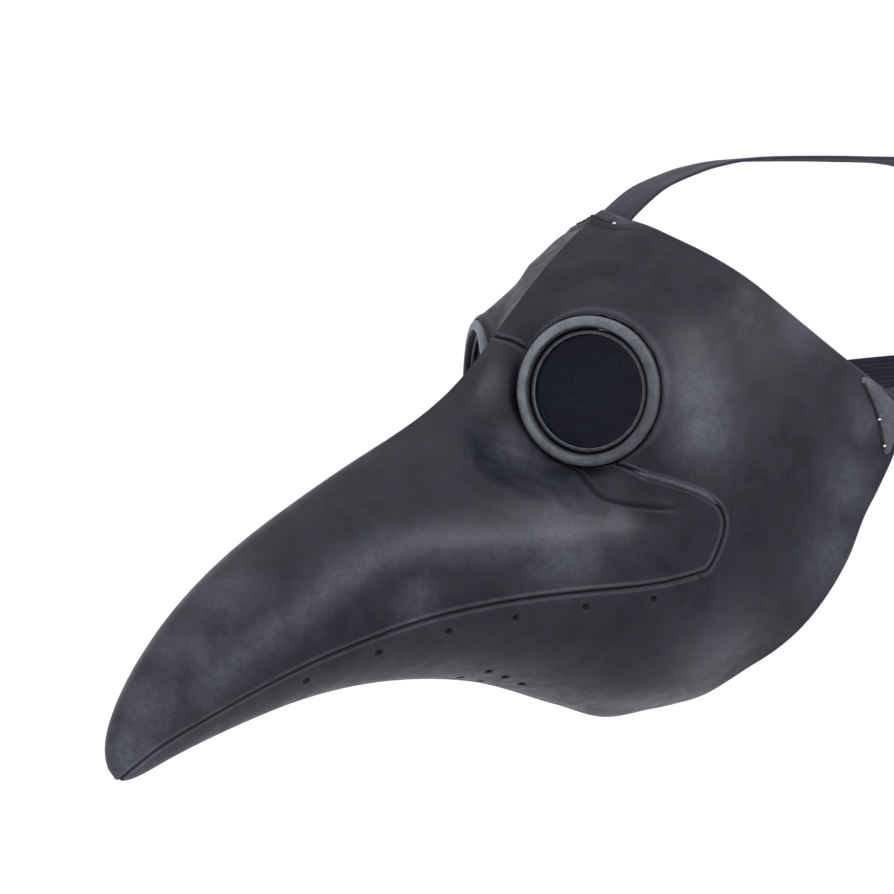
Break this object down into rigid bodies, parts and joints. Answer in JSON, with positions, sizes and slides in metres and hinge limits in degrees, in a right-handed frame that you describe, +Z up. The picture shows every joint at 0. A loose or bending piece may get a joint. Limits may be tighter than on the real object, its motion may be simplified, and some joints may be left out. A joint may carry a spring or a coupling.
{
  "type": "plague doctor mask",
  "caption": "Full-face plague doctor mask with a long down-curved beak, round recessed dark lenses in raised rings, and an elastic strap harness.",
  "frame": {"origin": "between the wearer's eyes, on the centre plane, level with the lens centres", "axes": "+Z up, -Y straight ahead along the beak, +X to the wearer's left"},
  "size_m": [0.1676, 0.5221, 0.2925],
  "materials": {
    "beak_latex": "satin",
    "shell_latex": "satin",
    "ring_latex": "satin",
    "lip_plastic": "satin",
    "lens_smoke": "polished",
    "retainer_plastic": "matte",
    "tab_leather": "satin",
    "strap_web": "woven",
    "pad_leather": "grained",
    "slider_plastic": "satin"
  },
  "bodies": {
    "mask": {"beak_upper": "beak_latex", "face_shell": "shell_latex", "eye_ring_left": "ring_latex", "eye_ring_right": "ring_latex", "lens_seat_left": "lip_plastic", "lens_seat_right": "lip_plastic", "lens_left": "lens_smoke", "lens_right": "lens_smoke", "lens_retainer_left": "retainer_plastic", "lens_retainer_right": "retainer_plastic", "cheek_welt_left": "beak_latex", "cheek_welt_right": "beak_latex", "forehead_tab": "tab_leather", "temple_tab_left": "tab_leather", "temple_tab_right": "tab_leather", "top_strap": "strap_web"},
    "harness": {"side_strap_left": "strap_web", "side_strap_right": "strap_web", "rear_pad": "pad_leather"},
    "slider_left": {"strap_slider_left": "slider_plastic"},
    "slider_right": {"strap_slider_right": "slider_plastic"}
  },
  "joints": [
    {"name": "harness_swing", "type": "hinge", "parent": "mask", "child": "harness", "pos_m": [0, 0.118, -0.013], "axis": [1, 0, 0], "range_deg": [-30, 30], "deforming": ["top_strap"]},
    {"name": "slider_left_slide", "type": "slide", "parent": "harness", "child": "slider_left", "axis": [0, 0.9848, 0.1736], "range_m": [-0.013, 0.013]},
    {"name": "slider_right_slide", "type": "slide", "parent": "harness", "child": "slider_right", "axis": [0, 0.9848, 0.1736], "range_m": [-0.013, 0.013]}
  ]
}
